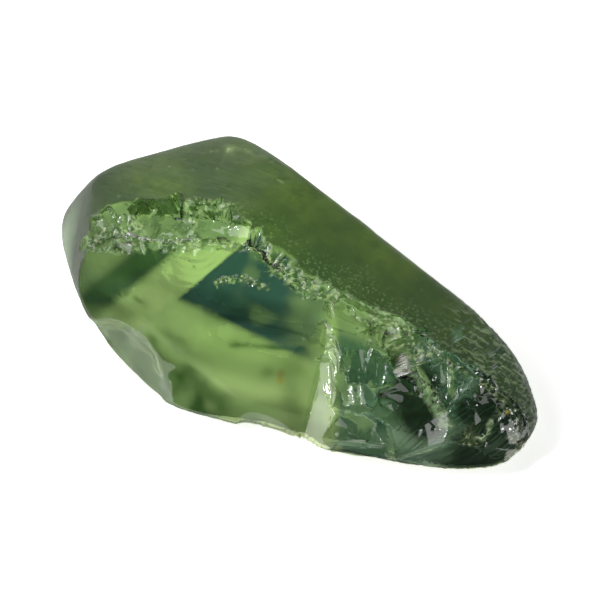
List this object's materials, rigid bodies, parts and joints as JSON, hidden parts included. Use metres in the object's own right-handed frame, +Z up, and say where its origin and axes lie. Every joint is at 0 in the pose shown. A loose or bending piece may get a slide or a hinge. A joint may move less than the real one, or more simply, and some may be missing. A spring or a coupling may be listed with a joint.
{
  "type": "rough sapphire",
  "caption": "Rough green sapphire pebble, water-worn at the back and broken open in front into two broad glassy scars with small flakes and a chipped ridge.",
  "frame": {"origin": "a point inside the flat spot under the stone, on the surface that it rests on", "axes": "+X along the stone's length towards its narrow end, +Z up from the surface it rests on, -Y towards the broken front"},
  "size_m": [0.0133, 0.0072, 0.0039],
  "materials": {
    "crystal": "clear yellow-green to teal crystal, glassy on the broken faces and finely frosted on the worn skin"
  },
  "bodies": {
    "root": {"sapphire": "crystal"}
  },
  "joints": []
}
